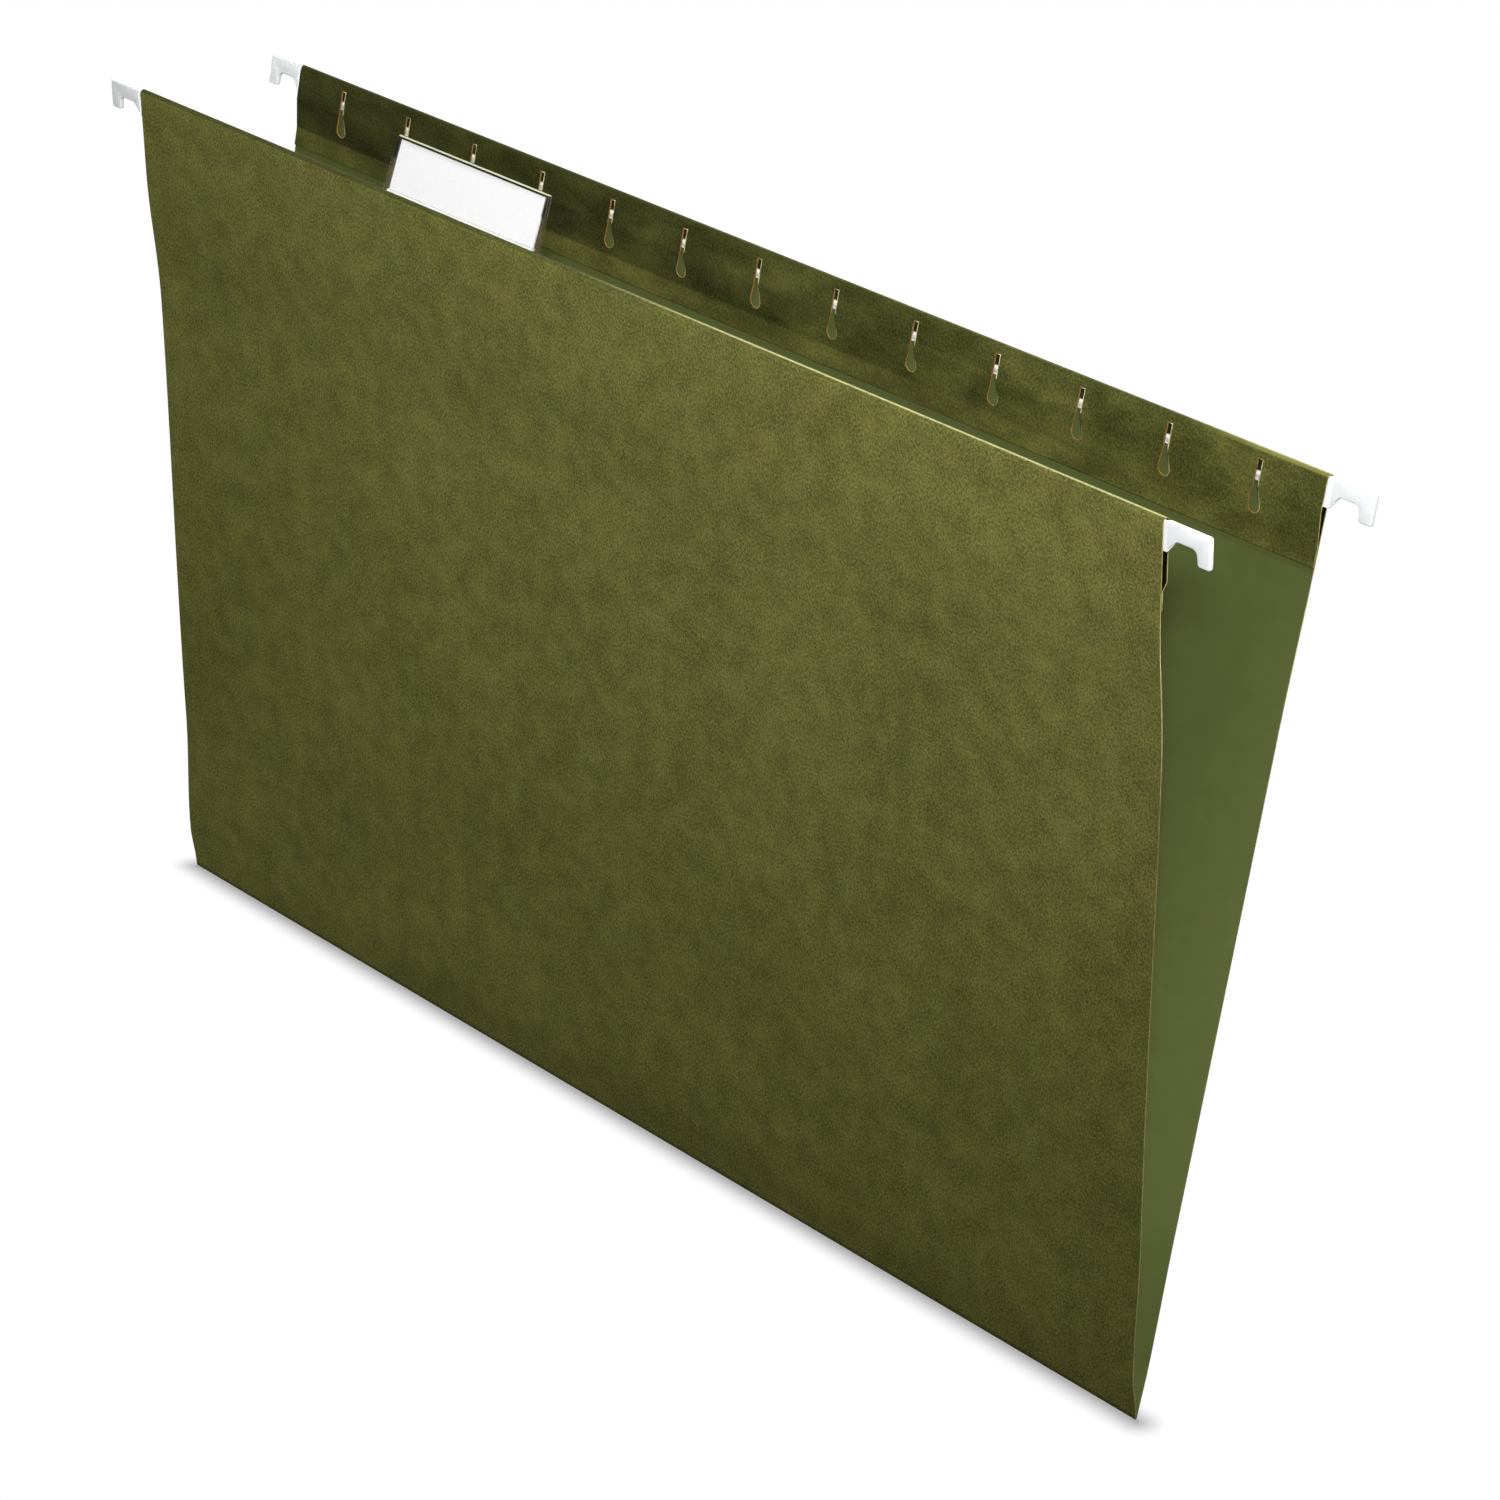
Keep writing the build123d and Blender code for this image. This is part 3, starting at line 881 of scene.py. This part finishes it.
# %% paper and glue
paper = Finish("white_paper")
paper_grain = paper.noise(paper.coordinates(), scale=1800, detail=4, roughness=0.6)
paper.feed("Base Color", paper.shades(paper_grain, (206, 206, 208), (214, 214, 216)))
paper.fix("Roughness", 0.8)
paper.bump(paper_grain, strength=0.08, distance=0.05 * mm)
dress(paper, "tab_insert")
glue = Finish("dried_glue")
glue_grain = glue.noise(glue.coordinates(), scale=500, detail=3, roughness=0.6)
glue.feed("Base Color", glue.shades(glue_grain, (186, 178, 140), (206, 198, 162)))
glue.fix("Roughness", 0.5)
dress(glue, "front_glue_line", "back_glue_line")
print("dressed nodes: tab, insert and glue lines")

# %% [markdown]
# The floor is a clear film. Rays from the camera, and those that gloss or clear plastic pass on, see the
# white world through it, and a shadow is drawn on it along the crease, where the folder stands. A solid
# floor would hide the front side when it hangs open below the floor line. Scattered light meets a dark
# matt floor instead, so that hardly any comes back up from it.

# %% floor


def seen_directly(nodes, links):
    """1 for rays from the camera, from gloss and through clear plastic, and 0 for the rest."""
    path = nodes.new("ShaderNodeLightPath")
    total = path.outputs["Is Camera Ray"]
    for ray in ("Is Glossy Ray", "Is Transmission Ray"):
        larger = nodes.new("ShaderNodeMath")
        larger.operation = "MAXIMUM"
        links.new(total, larger.inputs[0])
        links.new(path.outputs[ray], larger.inputs[1])
        total = larger.outputs[0]
    return total


dark_floor, shadow_start, shadow_end, shadow_depth = 0.06, -4, 8.5, 0.235
pale = Finish("pale_floor")
pale.fix("Base Color", (dark_floor, dark_floor, dark_floor, 1))
pale.fix("Roughness", 0.9)
pale.fix("Specular IOR Level", 0.0)
ground = pale.axes(pale.coordinates())
past_end = pale.math("SUBTRACT", pale.math("ABSOLUTE", ground["X"]), panel_width / 2 * mm)
past_end = pale.math("MAXIMUM", past_end, 0.0)
squared = pale.math("ADD", pale.math("POWER", past_end, 2.0), pale.math("POWER", ground["Y"], 2.0))
from_crease = pale.math("SQRT", squared)
film = pale.add("ShaderNodeBsdfTransparent")
shadow = pale.span(from_crease, shadow_start * mm, shadow_end * mm, shadow_depth, 1.0)
pale.join(shadow, film.inputs["Color"])
shadow_ray = pale.add("ShaderNodeLightPath").outputs["Is Shadow Ray"]
let_by = pale.math("MAXIMUM", seen_directly(pale.nodes, pale.links), shadow_ray)
pale.show(pale.layer(let_by, pale.shader.outputs["BSDF"], film.outputs["BSDF"]))

floor_radius, floor_gap = 0.62, 0.4 * mm
floor_bm = bmesh.new()
bmesh.ops.create_circle(floor_bm, cap_ends=True, segments=64, radius=floor_radius)
bmesh.ops.translate(floor_bm, verts=floor_bm.verts[:], vec=Vector((0, 0, cad_box[0][2] - floor_gap)))
floor = add_piece("floor", floor_bm, pale)
print("floor height:", round(cad_box[0][2] - floor_gap, 5))

# %% [markdown]
# The world is white to the camera and only a weak fill to the rest. Five lamps do the lighting: a soft one
# from the front right whose beam fades to the left and downwards, a high one over the top, a broad one for
# the back, and two small ones that look into the ends of the pocket, which would be too dark.

# %% light
fill_light = 0.11
world = bpy.data.worlds.new("studio")
bpy.context.scene.world = world
world.use_nodes = True
sky, sky_links = world.node_tree.nodes, world.node_tree.links
strength = sky.new("ShaderNodeMapRange")
strength.inputs["To Min"].default_value = fill_light
strength.inputs["To Max"].default_value = 1.0
sky_links.new(seen_directly(sky, sky_links), strength.inputs["Value"])
sky_links.new(strength.outputs["Result"], sky["Background"].inputs["Strength"])
sky["Background"].inputs["Color"].default_value = (1, 1, 1, 1)


def lamp(name, place, aim, size, power, beam=180):
    light = bpy.data.lights.new(name, "AREA")
    light.shape = "SQUARE"
    light.size = size
    light.energy = power
    light.spread = radians(beam)
    holder = bpy.data.objects.new(name, light)
    holder.location = place
    holder.rotation_euler = (Vector(aim) - Vector(place)).to_track_quat("-Z", "Y").to_euler()
    bpy.context.collection.objects.link(holder)


lamp("front_lamp", (0.939, -0.829, 0.662), (0.109, -0.02, 0.193), size=0.25, power=2.30, beam=39.5)
lamp("top_lamp", (0.0, -0.20, 1.98), (0.0, 0.0, 0.0), size=0.1, power=32)
lamp("back_lamp", (-0.7, 1.2, 0.2), (0.0, 0.03, -0.1), size=0.5, power=19)
lamp("right_pocket_lamp", (0.6, -0.06, 0.7), (0.18, 0.0, -0.18), size=0.02, power=0.13, beam=10)
lamp("left_pocket_lamp", (-0.6, -0.06, 0.7), (-0.18, 0.0, -0.18), size=0.02, power=0.13, beam=10)
print("lamps:", len(bpy.data.lights))

# %% [markdown]
# The camera was fitted to the corners of the folder in the photograph: it looks from the front right,
# a little from above, through a long lens, and leans a few degrees to the side.

# %% camera
photo_pixels, focal_pixels, sensor = 1500, 4839, 36
turn, rise, lean = radians(45.94), radians(22.91), radians(4.72)
from_the_crease = Vector((0.8328, -0.7699, 0.5857))
away = Vector((sin(turn) * cos(rise), -cos(turn) * cos(rise), sin(rise)))
level = Vector((cos(turn), sin(turn), 0))
upright = away.cross(level)
across_view = level * cos(lean) + upright * sin(lean)
up_view = upright * cos(lean) - level * sin(lean)
lens = bpy.data.cameras.new("photo_view")
lens.lens = focal_pixels / photo_pixels * sensor
lens.sensor_width = sensor
camera = bpy.data.objects.new("photo_view", lens)
turned = Matrix((across_view, up_view, away)).transposed().to_4x4()
camera.matrix_world = Matrix.Translation(from_the_crease + Vector((0, 0, crease.z))) @ turned
bpy.context.collection.objects.link(camera)
bpy.context.scene.camera = camera
bpy.context.scene.view_settings.view_transform = "Standard"
print("camera distance:", round(camera.matrix_world.translation.length, 3), "m")
